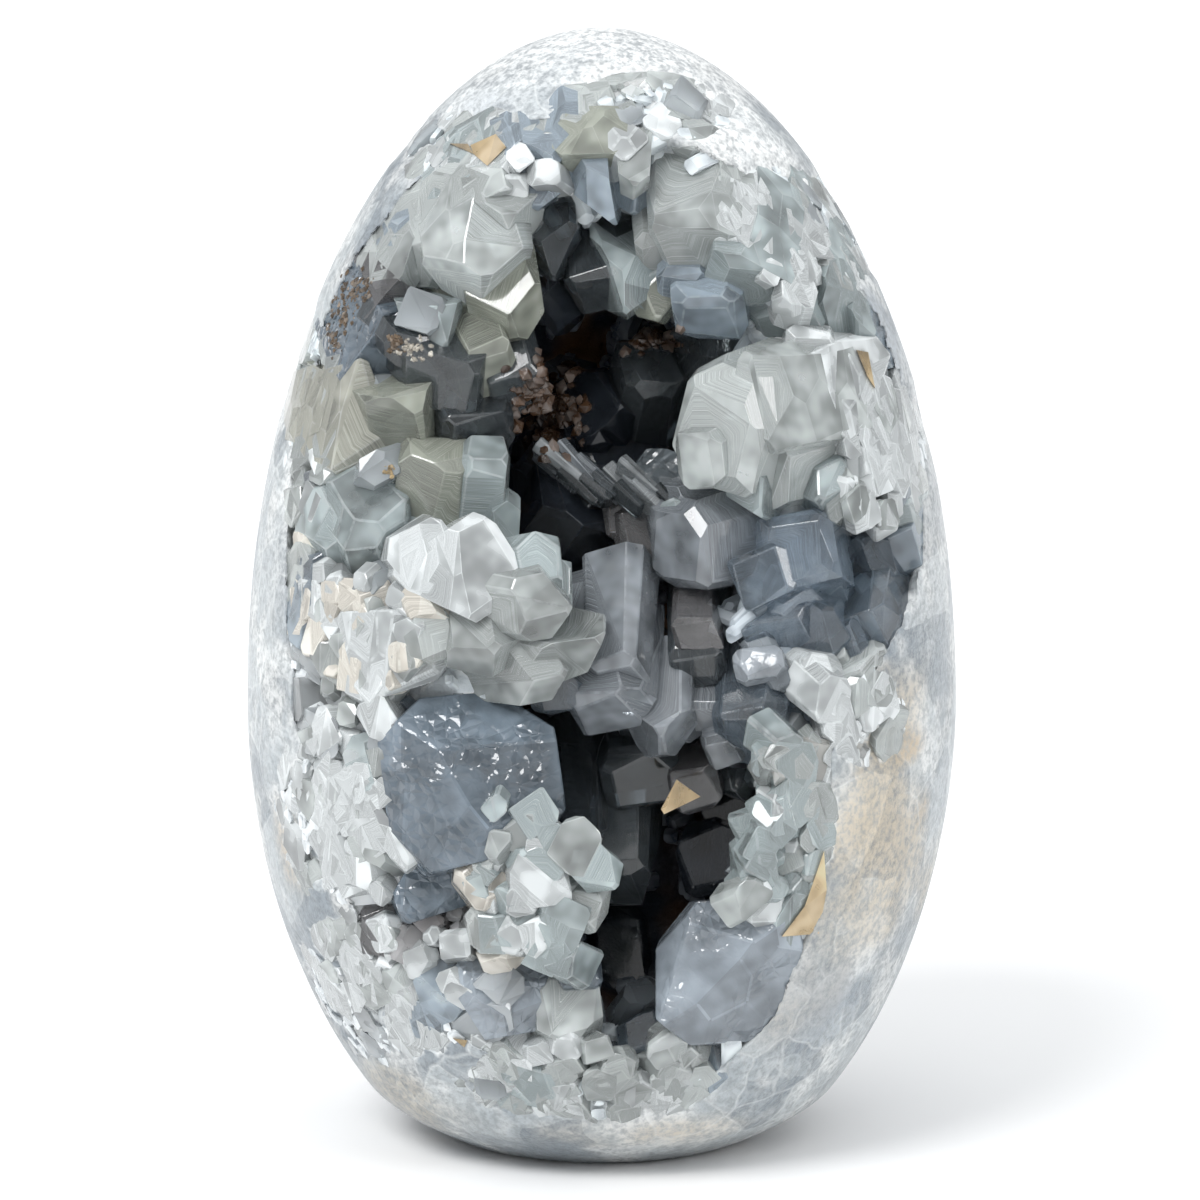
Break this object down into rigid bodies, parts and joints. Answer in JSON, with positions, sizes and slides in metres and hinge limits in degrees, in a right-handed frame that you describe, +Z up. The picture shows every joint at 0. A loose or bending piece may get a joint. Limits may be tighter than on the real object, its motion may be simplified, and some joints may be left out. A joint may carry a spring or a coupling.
{
  "type": "celestite geode",
  "caption": "Free-standing celestite geode ground to an egg shape, with a crystal-lined hollow open at the front and a small flat spot to stand on.",
  "frame": {"origin": "middle of the flat spot that the geode stands on", "axes": "+Z up along the egg's axis, -Y out of the open mouth of the hollow, +X to the right as seen from the front"},
  "size_m": [0.0894, 0.0871, 0.14],
  "materials": {
    "ground_stone": "satin",
    "celestite_crystal": "gloss"
  },
  "bodies": {
    "root": {"stone_egg": "ground_stone", "crystal_crust": "celestite_crystal"}
  },
  "joints": []
}
